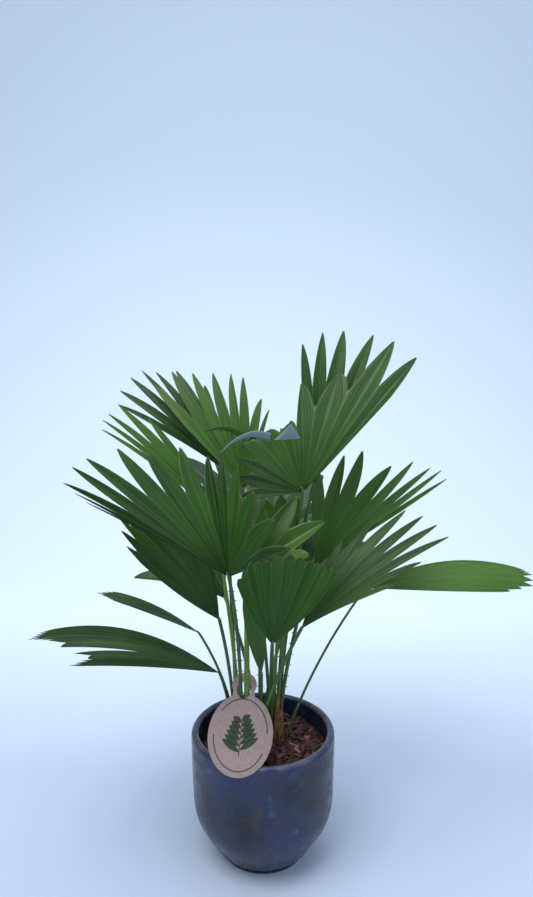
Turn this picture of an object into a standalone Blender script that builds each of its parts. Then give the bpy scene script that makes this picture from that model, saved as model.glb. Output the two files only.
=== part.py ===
"""Potted footstool palm: glazed pot, bark soil, hanging card, stem bases, petioles and fan fronds.

The frame: origin at the middle of the pot's flat underside, +Z up, the face of the plant towards -Y.
Sizes here are in millimetres and degrees, and become metres where a mesh is made.
"""

import math

import bmesh
import bpy
import numpy as np
from mathutils import Vector

MM = 0.001
GAP = 0.3
TURN_STEPS = 40

# The pot: radius and height along its profile, the lip between its inside and its outside
POT_HEIGHT = 154.6
LIP_RADIUS = 4.7
LIP_MIDDLE = 80.4
LIP_ARC_STEPS = 6
POT_INSIDE = ((0.0, 11.0), (40.0, 12.0), (52.0, 17.0), (66.0, 34.0), (74.0, 60.0), (75.2, 120.0))
POT_OUTSIDE = ((85.3, 125.0), (84.4, 90.0), (83.6, 62.0), (80.0, 48.0), (74.5, 36.0), (68.0, 26.0),
               (62.5, 17.0), (58.5, 10.5), (55.5, 8.0), (52.2, 6.5), (51.0, 4.0), (50.6, 0.0))

# The soil: level at the stems, level at the wall
SOIL_LEVEL = 137.0
SOIL_AT_WALL = 133.0
SOIL_FLAT_RADIUS = 48.0
SOIL_EDGE_RADIUS = 75.0

# The hanging card: an oval with a neck loop round two petioles, leaning on the pot's lip
CARD_HALF_WIDTH = 36.5
CARD_HALF_LENGTH = 47.0
CARD_THICKNESS = 1.2
CARD_SIDES = 36
LOOP_OUTER = 14.5
LOOP_HOLE = 8.4
LOOP_HOLE_LENGTH = 10.8
LOOP_ABOVE = 52.0
LOOP_LIFT = 6.1
LOOP_SIDES = 20
LOOP_START = -28.0
LOOP_SWEEP = 236.0
NECK_CLEAR = 18.1
CARD_PLACE = (-25.2, -52.6, 176.4)
CARD_TILT = 36.9
CARD_TURN = -4.2

# The stem bases: place on the soil, foot radius, top radius, height
STEMS = {
    "left": ((-33.5, 9.0), 10.5, 9.5, 20.0),
    "centre": ((-21.0, -11.0), 9.6, 9.0, 22.0),
    "middle": ((-4.0, -14.0), 7.2, 6.8, 16.0),
    "right": ((14.0, 5.0), 11.0, 10.2, 24.0),
    "back": ((-4.0, 31.0), 10.5, 9.0, 20.0),
}
STEM_SIDES = 12
STEM_WAIST = 0.45

# The petioles: rings along them, radius at the foot and where they meet the blade
PETIOLE_RINGS = 8
PETIOLE_FOOT = 2.4
PETIOLE_TIP = 2.0
PETIOLE_BEND_HEIGHT = 0.55
PETIOLE_LEAN = (0.25, 0.25)
TIP_REACH = 0.8
THROAT_GAP = 0.55

# The blades: rows from the throat to the cut, rows on a free tip, fold of the pleats, thickness
INNER_ROWS = 3
TIP_ROWS = 2
PLEAT = 0.07
LEAST_THICKNESS = 2.1
THICKNESS_SHARE = 0.0105
TIP_TAPER = 0.75
EDGE_MARGIN = 0.3

# Where a folded tip hangs: left, forwards and down
DRAPE = np.array((-0.75, -0.45, -0.48))

LEAF_GREEN = (0.045, 0.115, 0.035)
FRESH_GREEN = (0.13, 0.24, 0.045)
PETIOLE_GREEN = (0.13, 0.22, 0.06)

# Each frond: its stem, the place of its petiole's foot, its hub, and its ribs as heading, rise and
# reach, with the length of a folded-over tip where there is one. Ribs run clockwise seen from above.
FRONDS = {}


def frond(name, stem, foot, hub, ribs, **rule):
    """Keep the sizes of one frond."""
    FRONDS[name] = dict(stem=stem, foot=foot, hub=hub, ribs=ribs, **rule)


frond("top", "right", (16.0, -1.0), (45, -4, 442),
      ((204, 2, 75), (200, 16, 81), (196, 29, 86), (190, 40, 93), (168, 57, 81, 38), (117, 66, 82),
       (91, 68, 129), (44, 66, 143), (18, 57, 201), (5, 50, 196)), cut=0.72, bow=0.03, girth=2.5)
frond("top_back", "right", (18.0, 10.0), (59, 32, 441),
      ((107, 76, 171), (74, 76, 185), (48, 73, 190), (24, 66, 193)), cut=0.66, bow=0.03)
frond("back_left", "centre", (-18.8, -11.2), (-21, 62, 430),
      ((162, 46, 176), (152, 53, 178), (142, 58, 165), (129, 64, 156), (112, 69, 149), (96, 73, 142),
       (55, 73, 114), (32, 71, 103)), cut=0.6, bow=0.05, girth=3.7, lean=(0.0, 0.0), colour="fresh")
frond("far_left", "left", (-32.5, 15.0), (-52, 90, 452),
      ((188, 33, 150), (181, 38, 158), (171, 44, 162), (162, 48, 162), (152, 50, 154), (138, 55, 146),
       (112, 56, 120)), cut=0.56, bow=0.04)
frond("left_yellow", "left", (-28.5, 11.0), (-63, 60, 403),
      ((204, 40, 169), (199, 43, 173), (194, 46, 172), (188, 51, 172), (177, 57, 137)),
      cut=0.64, bow=0.04, colour="fresh")
frond("left_front", "centre", (-25.3, -10.6), (-36, -60, 362),
      ((194, 32, 170), (195, 33, 184), (195, 34, 199), (194, 39, 201), (191, 43, 195), (183, 51, 180),
       (170, 56, 159), (143, 63, 150), (117, 66, 134), (103, 72, 137), (70, 77, 122), (0, 74, 97),
       (335, 53, 87), (330, 30, 86)), cut=0.62, bow=0.05, lift=0.02, girth=2.2, lean=(0.0, 0.0))
frond("left_low", "left", (-34.0, 5.5), (-50, -14, 295),
      ((206, 44, 145), (199, 50, 174), (192, 51, 176), (180, 58, 179), (163, 67, 176)),
      cut=0.84, bow=0.05, lift=0.01, belly=0.07, between=1, girth=2.0)
frond("centre_front", "right", (9.5, 0.0), (10, -95, 302),
      ((214, 62, 88), (200, 75, 94), (230, 83, 93), (340, 79, 101), (350, 66, 100), (348, 59, 103),
       (343, 52, 109)), cut=0.88, bow=0.05, belly=0.04, between=1, girth=3.3, lean=(0.1, 0.1))
frond("centre_small", "middle", (-2.0, -10.3), (-2, -26, 235),
      ((211, 76, 96), (204, 83, 98), (180, 88, 88)), cut=0.9, bow=0.03, belly=0.06, girth=1.9,
      lean=(0.1, 0.1), colour="fresh")
frond("right_mid", "right", (19.5, 3.5), (62, 30, 344),
      ((86, 83, 119), (40, 70, 138), (31, 63, 151), (20, 49, 153), (13, 45, 173), (7, 40, 181),
       (2, 38, 188), (359, 35, 186)), cut=0.62, bow=0.04)
frond("right_low", "middle", (-6.5, -17.5), (43, -30, 291),
      ((41, 55, 111), (30, 49, 149), (20, 44, 181), (14, 40, 189), (9, 36, 193), (4, 32, 195),
       (358, 31, 153), (351, 29, 120)), cut=0.64, bow=0.05, lift=0.01, girth=2.1, lean=(0.35, 1.2))
frond("right_droop", "soil", (25.2, -3.5), (120, 8, 325),
      ((4, 5, 191), (2, 4, 197), (359, 1, 194), (356, 0, 165)), cut=0.94, bow=0.02, lift=0.04,
      belly=0.065, girth=1.6, tip=1.3, lean=(0.35, 0.35), colour="fresh")
frond("left_droop", "left", (-38.5, 4.0), (-51, -12, 229),
      ((188, 7, 169), (187, 10, 150), (181, 12, 200), (179, 10, 225), (177, 12, 214)), cut=0.93,
      bow=0.03, lift=0.055, belly=0.06, cleft=(2, 0.5), girth=1.8, tip=1.4)
frond("left_thin", "left", (-35.5, 11.0), (-77, 20, 264),
      ((188, 25, 110), (183, 24, 130), (178, 26, 115)), cut=0.93, bow=0.02, lift=0.02, belly=0.05,
      girth=1.8, tip=1.4)
frond("inner_right", "right", (8.2, 6.5), (-10, -36, 366),
      ((57, 75, 64), (27, 54, 91), (7, 31, 93), (336, 17, 67)), cut=0.6, bow=0.04, belly=0.02,
      girth=2.0, colour="fresh")
frond("inner_spear", "right", (12.5, 10.5), (23, 12, 340),
      ((158, 76, 90), (100, 83, 94), (24, 78, 93)), cut=0.88, bow=0.02, belly=0.02, girth=2.0,
      colour="fresh")
frond("back_centre", "back", (-4.0, 36.0), (-4, 64, 350),
      ((150, 31, 168), (137, 34, 185), (115, 36, 195), (94, 36, 195), (73, 34, 185), (52, 28, 160),
       (35, 20, 130)), cut=0.62, bow=0.06, lift=0.03)
frond("back_right", "back", (1.5, 28.5), (42, 66, 292),
      ((128, 26, 135), (108, 30, 160), (88, 32, 178), (68, 31, 180), (50, 27, 165), (34, 20, 135)),
      cut=0.62, bow=0.06, lift=0.03)
frond("back_low", "back", (-9.5, 29.0), (-48, 74, 286),
      ((176, 12, 120), (158, 18, 145), (140, 22, 165), (120, 24, 178), (100, 22, 165)),
      cut=0.62, bow=0.06, lift=0.03)


def unit(vectors):
    """Vectors at length one."""
    return vectors / np.linalg.norm(vectors, axis=-1, keepdims=True)


class Fan:
    """The surface that a frond's ribs span: a point on it is a rib number and a share of its reach."""

    def __init__(self, rule):
        heading = np.radians([rib[0] for rib in rule["ribs"]])
        rise = np.radians([rib[1] for rib in rule["ribs"]])
        self.rule = rule
        self.hub = np.array(rule["hub"], float)
        self.ways = np.stack([np.cos(rise) * np.cos(heading), np.cos(rise) * np.sin(heading),
                              np.sin(rise)], axis=1)
        self.reaches = np.array([rib[2] for rib in rule["ribs"]], float)
        self.drops = np.array([rib[3] if len(rib) > 3 else 0.0 for rib in rule["ribs"]])
        self.last = len(heading) - 1
        self.normal = -unit(np.cross(self.ways[:-1], self.ways[1:]).sum(axis=0))
        self.side = unit(np.cross(unit(self.ways.sum(axis=0)), self.normal))
        segments = self.last * (1 + rule.get("between", 0)) + 1
        self.mids = np.linspace(0, self.last, segments)
        margin = EDGE_MARGIN * self.mids[1]
        seams = (self.mids[1:] + self.mids[:-1]) / 2
        self.edges = np.concatenate([[-margin], seams, [self.last + margin]])

    def way(self, rib):
        """The direction of a rib, also between two given ones."""
        first = int(np.clip(math.floor(rib), 0, self.last - 1))
        share = rib - first
        return unit(self.ways[first] * (1 - share) + self.ways[first + 1] * share)

    def up(self, rib):
        """The blade's upper normal at a rib."""
        local = unit(-np.cross(self.way(rib - 0.4), self.way(rib + 0.4)))
        return unit(local + 0.6 * self.normal)

    def reach(self, rib):
        """The length of a rib, with its folded-over tip."""
        return float(np.interp(rib, range(self.last + 1), self.reaches + self.drops))

    def point(self, rib, share):
        """The point at a share of a rib's reach."""
        whole = self.reach(rib)
        straight = float(np.interp(rib, range(self.last + 1), self.reaches))
        out = min(share * whole / straight, 1.0)
        across = 2 * rib / self.last - 1
        bulge = self.rule.get("bow", 0) * self.normal + self.rule.get("belly", 0) * across * self.side
        bulge = bulge + np.array((0, 0, self.rule.get("lift", 0)))
        place = self.hub + straight * (self.way(rib) * out + bulge * 4 * out * (1 - out))
        return place + DRAPE * max(share * whole - straight, 0.0)


def clear_scene():
    """Start from an empty file."""
    for item in list(bpy.data.objects):
        bpy.data.objects.remove(item, do_unlink=True)


def material(name, colour, roughness):
    """A plain material in one colour."""
    made = bpy.data.materials.new(name)
    made.use_nodes = True
    shader = made.node_tree.nodes["Principled BSDF"]
    shader.inputs["Base Color"].default_value = (*colour, 1.0)
    shader.inputs["Roughness"].default_value = roughness
    shader.inputs["Metallic"].default_value = 0.0
    return made


def add_object(name, data, finish, collection):
    """Link a new object with its own material."""
    made = bpy.data.objects.new(name, data)
    made.data.materials.append(finish)
    collection.objects.link(made)
    return made


def turned(name, profile, steps, place, finish, collection):
    """A turned piece: its profile runs up its inner side, if any, and down its outer side."""
    mesh = bpy.data.meshes.new(name)
    points = [(radius * MM, 0.0, height * MM) for radius, height in profile]
    mesh.from_pydata(points, [(i, i + 1) for i in range(len(points) - 1)], [])
    made = add_object(name, mesh, finish, collection)
    made.location = [value * MM for value in place]
    screw = made.modifiers.new("Turn", "SCREW")
    screw.axis = "Z"
    screw.steps = steps
    screw.render_steps = steps
    screw.use_merge_vertices = True
    screw.merge_threshold = 0.00001
    screw.use_smooth_shade = True


def make_pot(collection):
    """The glazed pot: one wall with a round lip, a filled foot and a flat underside."""
    centre = POT_HEIGHT - LIP_RADIUS
    lip = []
    for step in range(LIP_ARC_STEPS + 1):
        angle = math.pi * (1 - step / LIP_ARC_STEPS)
        lip.append((LIP_MIDDLE + LIP_RADIUS * math.cos(angle), centre + LIP_RADIUS * math.sin(angle)))
    profile = list(POT_INSIDE) + lip + list(POT_OUTSIDE) + [(0.0, 0.0)]
    finish = material("Pot glaze", (0.035, 0.04, 0.065), 0.45)
    turned("pot", profile, TURN_STEPS, (0, 0, 0), finish, collection)


def make_soil(collection):
    """The bark soil that fills the pot, 0.3 mm clear of its wall and floor."""
    profile = [(0.0, SOIL_LEVEL), (SOIL_FLAT_RADIUS, SOIL_LEVEL), (SOIL_EDGE_RADIUS, SOIL_AT_WALL)]
    for radius, height in POT_INSIDE[::-1]:
        profile.append((max(radius - GAP, 0.0), height + GAP))
    finish = material("Bark soil", (0.09, 0.035, 0.02), 0.95)
    turned("soil", profile, TURN_STEPS, (0, 0, 0), finish, collection)


def card_outline():
    """The card's outer edge: an oval that runs into the round neck loop at its top."""
    loop_middle = LOOP_ABOVE + LOOP_LIFT
    points = []
    for step in range(CARD_SIDES):
        angle = math.tau * (step + 0.5) / CARD_SIDES + math.pi / 2
        x = CARD_HALF_WIDTH * math.cos(angle)
        y = CARD_HALF_LENGTH * math.sin(angle)
        if math.hypot(x, y - loop_middle) > NECK_CLEAR:
            points.append((x, y))
    for step in range(LOOP_SIDES + 1):
        angle = math.radians(LOOP_START + LOOP_SWEEP * step / LOOP_SIDES)
        points.append((LOOP_OUTER * math.cos(angle), loop_middle + LOOP_OUTER * math.sin(angle)))
    return points


def card_hole():
    """The hole in the neck loop."""
    points = []
    for step in range(LOOP_SIDES):
        angle = math.tau * step / LOOP_SIDES
        points.append((LOOP_HOLE * math.cos(angle), LOOP_ABOVE + LOOP_HOLE_LENGTH * math.sin(angle)))
    return points


def make_card(collection):
    """The card that hangs round the petioles and leans on the lip."""
    curve = bpy.data.curves.new("card", "CURVE")
    curve.dimensions = "2D"
    curve.fill_mode = "BOTH"
    curve.extrude = CARD_THICKNESS / 2 * MM
    for outline in (card_outline(), card_hole()):
        spline = curve.splines.new("POLY")
        spline.points.add(len(outline) - 1)
        for point, (x, y) in zip(spline.points, outline):
            point.co = (x * MM, y * MM, 0.0, 1.0)
        spline.use_cyclic_u = True
    made = add_object("card", curve, material("Brown card", (0.42, 0.29, 0.24), 0.85), collection)
    made.location = [value * MM for value in CARD_PLACE]
    made.rotation_euler = (math.radians(CARD_TILT), 0.0, math.radians(CARD_TURN))


def make_stems(collection):
    """The short stem bases, wrapped in old sheaths, cut flat just above the soil."""
    for name, (place, foot, top, height) in STEMS.items():
        waist = (foot + 2 * top) / 3
        profile = ((0.0, height), (top, height), (waist, height * STEM_WAIST), (foot, 0.0), (0.0, 0.0))
        finish = material("Sheath " + name, (0.13, 0.06, 0.03), 0.9)
        turned("stem_" + name, profile, STEM_SIDES, (*place, SOIL_LEVEL + GAP), finish, collection)


def petiole_path(rule):
    """Points from just above the stem's top to just past the hub: steep at first, then leaning out."""
    seat = SOIL_LEVEL + GAP
    if rule["stem"] in STEMS:
        seat += STEMS[rule["stem"]][3] + GAP
    hub = np.array(rule["hub"], float)
    foot = np.array((*rule["foot"], seat))
    bend = foot + (hub - foot) * np.array((*rule.get("lean", PETIOLE_LEAN), PETIOLE_BEND_HEIGHT))
    share = np.linspace(0, 1, PETIOLE_RINGS)[:, None]
    path = foot * (1 - share) ** 2 + bend * 2 * share * (1 - share) + hub * share ** 2
    start = unit(path[1] - path[0])
    path[0][2] += rule.get("girth", PETIOLE_FOOT) * math.hypot(start[0], start[1])
    path[-1] += unit(hub - bend) * TIP_REACH
    return path


def make_petiole(name, rule, finish, collection):
    """A tapering leaf stalk."""
    curve = bpy.data.curves.new("petiole_" + name, "CURVE")
    curve.dimensions = "3D"
    curve.bevel_depth = MM
    curve.bevel_resolution = 1
    curve.use_fill_caps = True
    path = petiole_path(rule)
    spline = curve.splines.new("POLY")
    spline.points.add(len(path) - 1)
    foot = rule.get("girth", PETIOLE_FOOT)
    tip = rule.get("tip", PETIOLE_TIP)
    for number, (point, place) in enumerate(zip(spline.points, path)):
        point.co = (*(place * MM), 1.0)
        point.radius = foot + (tip - foot) * number / (len(path) - 1)
    add_object("petiole_" + name, curve, finish, collection)


def blade_rows(rule, reach):
    """Shares of the reach at which the blade has a row of points, short of the tip."""
    throat = (rule.get("tip", PETIOLE_TIP) + THROAT_GAP) / reach
    inner = np.linspace(throat, rule["cut"], INNER_ROWS + 1)
    free = np.linspace(rule["cut"], 1, TIP_ROWS + 1)[1:-1]
    return [*inner, *free]


def make_blade(name, rule, finish, collection):
    """A pleated fan, joined near the hub and cut to the seams between its segments further out."""
    fan = Fan(rule)
    cuts = [rule["cut"]] * len(fan.edges)
    if "cleft" in rule:
        cuts[rule["cleft"][0]] = rule["cleft"][1]
    mesh = bmesh.new()
    seams = {}

    def corner(edge, mid, row, share):
        """A point on a segment's edge, which draws in to the midrib past the cut."""
        joined = share <= cuts[edge] + 1e-6
        key = (edge, row) if joined else (edge, row, mid)
        if key not in seams:
            width = 1.0 if joined else ((1 - share) / (1 - cuts[edge])) ** TIP_TAPER
            rib = fan.point(fan.mids[mid], share)
            out = (fan.point(fan.edges[edge], share) - rib) * width
            place = rib + out + fan.up(fan.edges[edge]) * PLEAT * np.linalg.norm(out)
            seams[key] = mesh.verts.new(Vector(place * MM))
        return seams[key]

    for mid, rib in enumerate(fan.mids):
        rows = []
        for row, share in enumerate(blade_rows(rule, fan.reach(rib))):
            left = corner(mid, mid, row, share)
            right = corner(mid + 1, mid, row, share)
            half = (left.co - right.co).length / 2
            middle = Vector(fan.point(rib, share) * MM) - Vector(fan.up(rib)) * PLEAT * half
            rows.append((left, mesh.verts.new(middle), right))
        for near, far in zip(rows, rows[1:]):
            mesh.faces.new((near[0], near[1], far[1], far[0]))
            mesh.faces.new((near[1], near[2], far[2], far[1]))
        tip = mesh.verts.new(Vector(fan.point(rib, 1.0) * MM))
        mesh.faces.new((rows[-1][0], rows[-1][1], tip))
        mesh.faces.new((rows[-1][1], rows[-1][2], tip))
    bmesh.ops.recalc_face_normals(mesh, faces=mesh.faces[:])
    data = bpy.data.meshes.new("frond_" + name)
    mesh.to_mesh(data)
    mesh.free()
    made = add_object("frond_" + name, data, finish, collection)
    shell = made.modifiers.new("Leaf thickness", "SOLIDIFY")
    shell.thickness = max(LEAST_THICKNESS, THICKNESS_SHARE * fan.reaches.max()) * MM
    shell.offset = 0.0
    shell.use_rim = True


def make_fronds(collection):
    """Every frond: its blade and its petiole."""
    for name, rule in FRONDS.items():
        green = FRESH_GREEN if rule.get("colour") == "fresh" else LEAF_GREEN
        make_blade(name, rule, material("Blade " + name, green, 0.5), collection)
        make_petiole(name, rule, material("Petiole " + name, PETIOLE_GREEN, 0.5), collection)


def main():
    """Build the plant in its pot."""
    clear_scene()
    palm = bpy.data.collections.new("Potted footstool palm")
    bpy.context.scene.collection.children.link(palm)
    make_pot(palm)
    make_soil(palm)
    make_card(palm)
    make_stems(palm)
    make_fronds(palm)


main()
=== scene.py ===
"""Looks of the potted footstool palm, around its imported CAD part.

Sizes are in millimetres and degrees, in the CAD frame, and become metres where a mesh is made.
"""
import math

import bmesh
import bpy
import numpy as np
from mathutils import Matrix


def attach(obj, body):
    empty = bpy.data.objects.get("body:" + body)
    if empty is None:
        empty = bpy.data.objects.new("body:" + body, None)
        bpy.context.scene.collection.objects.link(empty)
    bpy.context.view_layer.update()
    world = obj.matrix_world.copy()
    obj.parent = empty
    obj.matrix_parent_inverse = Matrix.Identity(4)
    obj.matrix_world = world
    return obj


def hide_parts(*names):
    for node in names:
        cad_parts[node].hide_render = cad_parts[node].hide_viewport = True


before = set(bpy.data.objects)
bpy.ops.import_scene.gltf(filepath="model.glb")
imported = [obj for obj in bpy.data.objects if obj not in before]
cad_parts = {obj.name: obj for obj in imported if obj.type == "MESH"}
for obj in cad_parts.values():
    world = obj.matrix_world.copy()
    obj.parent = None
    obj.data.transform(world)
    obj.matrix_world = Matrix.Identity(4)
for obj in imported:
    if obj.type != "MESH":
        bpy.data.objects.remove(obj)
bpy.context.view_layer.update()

MM = 0.001
RANDOM = np.random.default_rng(7)

# The camera: its place, its pitch below level, and its focal length in pixels of the 897-pixel frame
CAMERA_PLACE = (4.0, -775.0, 614.0)
CAMERA_PITCH = 9.0
FOCAL_PIXELS = 700.0
FRAME_HEIGHT = 897.0
SENSOR = 36.0

# The floor, which sweeps up behind the plant. The change of tone is in metres along Y.
FLOOR_HALF_WIDTH = 4500
FLOOR_HALF_DEPTH = 3000
FLOOR_STEPS = 40
SWEEP_START = 900
SWEEP_SIZE = 1500
FLOOR_TONE = (0.46, 0.54, 0.66)
BACKDROP_TONE = (0.76, 0.87, 0.95)
TONE_CHANGE = (0.15, 0.75)

# The sky, and the lamps: place, aim, power in watts and size in metres
SKY_COLOUR = (0.70, 0.80, 1.0, 1.0)
SKY_STRENGTH = 0.66
PLANT_MIDDLE = (0, 0, 300)
LAMPS = (
    ("Key", (-500, -500, 1700), PLANT_MIDDLE, 19.0, 1.0),
    ("Fill", (900, -700, 900), PLANT_MIDDLE, 3.0, 1.2),
    ("Top", (200, 300, 1700), PLANT_MIDDLE, 9.0, 1.0),
    ("Backdrop", (0, 900, 2500), (0, 2700, 900), 10.0, 3.0),
)

# The pot: its lip is half round, and its walls are rows of radius and height
POT_STEPS = 144
LIP_RADIUS = 4.7
LIP_MIDDLE = 80.4
LIP_CENTRE = 149.9
LIP_STEPS = 16
POT_INSIDE = ((40.0, 12.0), (52.0, 17.0), (66.0, 34.0), (74.0, 60.0), (75.2, 120.0))
POT_OUTSIDE = ((85.3, 125.0), (84.4, 90.0), (83.6, 62.0), (80.0, 48.0), (74.5, 36.0), (68.0, 26.0),
               (62.5, 17.0), (58.5, 10.5), (55.5, 8.0), (52.2, 6.5), (51.0, 4.0), (50.6, 0.0))
OUTSIDE_ROWS = 60
OUTSIDE_SMOOTHING = 2
WAVES = ((0.18, 3, 0.03), (0.08, 7, 0.11))
WAVE_RISE = 20

# The soil, which slopes down towards the pot's wall, and its bark chips
SOIL_LEVEL = 137.0
SOIL_DROP = 4.0
SOIL_RADIUS = 74.6
SLOPE_START = 48
BED_RINGS = 26
BED_SIDES = 96
BED_SINK = 1.5
BED_LUMPS = (-1.4, 0.6)
BED_FOOT_RADIUS = 64.0
BED_FOOT_LEVEL = 40.0
BED_TINT = (0.0, 0.4)
BED_MIDDLE_TINT = 0.2
BED_FOOT_TINT = 0.1
CHIPS = 620
CHIP_SIZE = (3.0, 8.5)
CHIP_WIDTH = (0.4, 0.8)
CHIP_HEIGHT = (0.18, 0.4)
CHIP_RAGGED = (0.6, 1.1)
CHIP_TILT = 0.45
CHIP_SINK = 1.2
CHIP_RISE = 2.4
CHIP_MARGIN = 2
CHIP_TINT = (0.05, 1.0)
CHIP_TINT_POWER = 1.4

# The card
CARD_HALF_WIDTH = 36.5
CARD_HALF_LENGTH = 47.0
CARD_THICKNESS = 1.2
CARD_STEPS = 96
LOOP_OUTER = 14.5
LOOP_HOLE = 8.4
LOOP_HOLE_LENGTH = 10.8
LOOP_ABOVE = 52.0
LOOP_MIDDLE = 58.1
LOOP_STEPS = 48
LOOP_START = -30
LOOP_SWEEP = 240
NECK_CLEARANCE = 1.18
CARD_PLACE = (-25.2, -52.6, 176.4)
CARD_TILT = 36.9
CARD_TURN = -4.2

# The card's print: two arcs, each a start and a sweep, and a sprig with pairs of leaves. Their slant is in
# radians.
PRINT_LIFT = 0.12
ARCS = ((-178.0, 148.0), (2.0, 138.0))
ARC_STEPS = 40
ARC_INNER_INSET = 7.0
ARC_OUTER_INSET = 5.8
SPRIG_STALK = ((-0.5, -24.0), (0.5, -24.0), (1.0, 16.0), (0.4, 16.0))
SPRIG_PAIRS = 6
SPRIG_START = -19.0
SPRIG_SPACING = 6.6
SPRIG_LEAF = 25.0
SPRIG_SHRINK = 2.6
SPRIG_HALF_WIDTH = 3.6
SPRIG_SLANT = 0.62
SPRIG_STEPS = 8
SPRIG_ROUNDING = 0.8
SPRIG_ROOT = (0.2, 1.2)

# The stem bases: place on the soil, foot radius, top radius, height
STEMS = {
    "left": ((-33.5, 9.0), 10.5, 9.5, 20.0),
    "centre": ((-21.0, -11.0), 9.6, 9.0, 22.0),
    "middle": ((-4.0, -14.0), 7.2, 6.8, 16.0),
    "right": ((14.0, 5.0), 11.0, 10.2, 24.0),
    "back": ((-4.0, 31.0), 10.5, 9.0, 20.0),
}
GAP = 0.3
STEM_RINGS = 16
STEM_SIDES = 48
STEM_SINK = 1.0
STEM_RISE = 3.0
STEM_TAPER = 0.6
STEM_FOLDS = ((0.045, 5, 2.2), (0.02, 13, 0.0))
STEM_CLOSING = 0.45
STEM_CLOSING_POWER = 7

# The torn strips of sheath: a ring of them round each base, and two dead ones against the right base,
# each with its place, the way it faces, its width, height and curl
STRIPS = 7
STRIP_STEPS = 12
STRIP_COLUMNS = 4
STRIP_THICKNESS = 0.7
STRIP_EDGE = 0.4
STRIP_CUP = 1.6
STRIP_HEIGHT = (0.8, 1.7)
STRIP_CURL = (-1.5, 2.0)
STRIP_TURN = 0.3
STRIP_SEAT = 0.95
STRIP_WIDTH = 0.8
STRIP_TAPER = (1.6, 0.8)
DEAD_SHEATHS = (
    ((17.0, -5.4, SOIL_LEVEL), (0.1, -0.995), 9.0, 66.0, 1.5),
    ((21.5, -3.4, SOIL_LEVEL), (0.5, -0.866), 8.0, 48.0, 3.0),
)

# The petioles, which run on past the hub as a short costa, and their spines. The rings of every tube are
# set out from one fixed direction.
RING_REFERENCE = (0.31, 0.95, 0.02)
PETIOLE_LEAN = (0.25, 0.25)
PETIOLE_BEND_HEIGHT = 0.55
PETIOLE_RINGS = 30
PETIOLE_SIDES = 12
PETIOLE_FOOT = 2.4
PETIOLE_TIP = 2.0
PETIOLE_SINK = 3.0
FOOT_FLARE = 0.25
FOOT_FLARE_SHARE = 0.05
COSTA = 7.0
COSTA_STEPS = (0.35, 0.7, 1.0)
COSTA_TAPER = (0.8, 0.55, 0.2)
SPINE_FIRST = 4
SPINE_FREE = 6
SPINE_EVERY = 2
SPINE_SEAT = 0.85
SPINE_REACH = (2.6, -0.5, -1.1)
SPINE_ARCH = 0.35
SPINE_RADII = (0.75, 0.45, 0.08)
SPINE_SIDES = 5

# The blades
INNER_ROWS = 16
TIP_ROWS = 12
COLUMNS = 8
PLEAT = 0.13
PLEAT_POWER = 0.9
LEAF_THICKNESS = 0.5
HUB_CLEARANCE = 0.6
TIP_TAPER = 0.75
TIP_WIDTH = 0.05
NOTCH = 0.03
NOTCH_START = 0.96
EDGE_MARGIN = 0.3
NORMAL_STEP = 0.4
NORMAL_SHARE = 0.6
# A frond's usual lightness: partly its own tone, partly painted light and shade
USUAL_TONE_AND_PAINTED_LIGHT = 0.3
TONE_SHARE = 0.55
TONE_SPREAD = 0.09
DRAPE = np.array((-0.75, -0.45, -0.48))

# The finishes of leaves: dark tone, light tone, tone of the seams (painted ridge highlight) and midribs,
# and roughness
LEAF_FINISHES = {
    "Leaf upper": ((0.004, 0.018, 0.003), (0.034, 0.11, 0.008), (0.05, 0.13, 0.022), 0.36),
    "Leaf under": ((0.014, 0.042, 0.018), (0.045, 0.11, 0.03), (0.065, 0.14, 0.045), 0.45),
    "Fresh upper": ((0.006, 0.026, 0.003), (0.046, 0.125, 0.012), (0.065, 0.15, 0.03), 0.36),
    "Fresh under": ((0.022, 0.065, 0.012), (0.085, 0.17, 0.03), (0.12, 0.21, 0.055), 0.45),
    # Pale blue-grey folded tips: the underside's paler colour with a painted sky sheen
    "Folded underside with painted sheen": ((0.09, 0.13, 0.14), (0.20, 0.27, 0.27), (0.25, 0.32, 0.32), 0.4),
}
LEAF_GLOSS = 0.26
BROWN_TIP = (0.12, 0.065, 0.03)

# The leaf tips that have folded over: spine, half width, power of the taper, way across, finish
FOLD_ROWS = 24
FOLD_COLUMNS = 4
FOLD_SMOOTHING = 8
FOLD_EDGE = 0.15
FOLD_CUP = 0.12
FOLD_TINT = 0.45
FOLDS = {
    "long": (((8, -9, 505), (-10, -17, 511), (-30, -24, 505), (-46.3, -25, 490.8)), 5.5, 0.7,
             (0.25, -0.3, 0.9), "Folded underside with painted sheen"),
    "short": (((27, -11, 503), (29, -14, 511), (31, -16, 521)), 15.0, 0.9,
              (1.0, 0.0, 0.06), "Folded underside with painted sheen"),
    "thin": (((-20, -7, 505), (-34, -11, 515), (-50, -15, 517), (-66, -18, 512.6)), 4.5, 0.8,
             (0.3, -0.2, 0.9), "Leaf upper"),
}

FRONDS = {}


def frond(name, stem, foot, hub, ribs, **rule):
    """Keep the sizes of one frond."""
    FRONDS[name] = dict(stem=stem, foot=foot, hub=hub, ribs=ribs, **rule)
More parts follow.
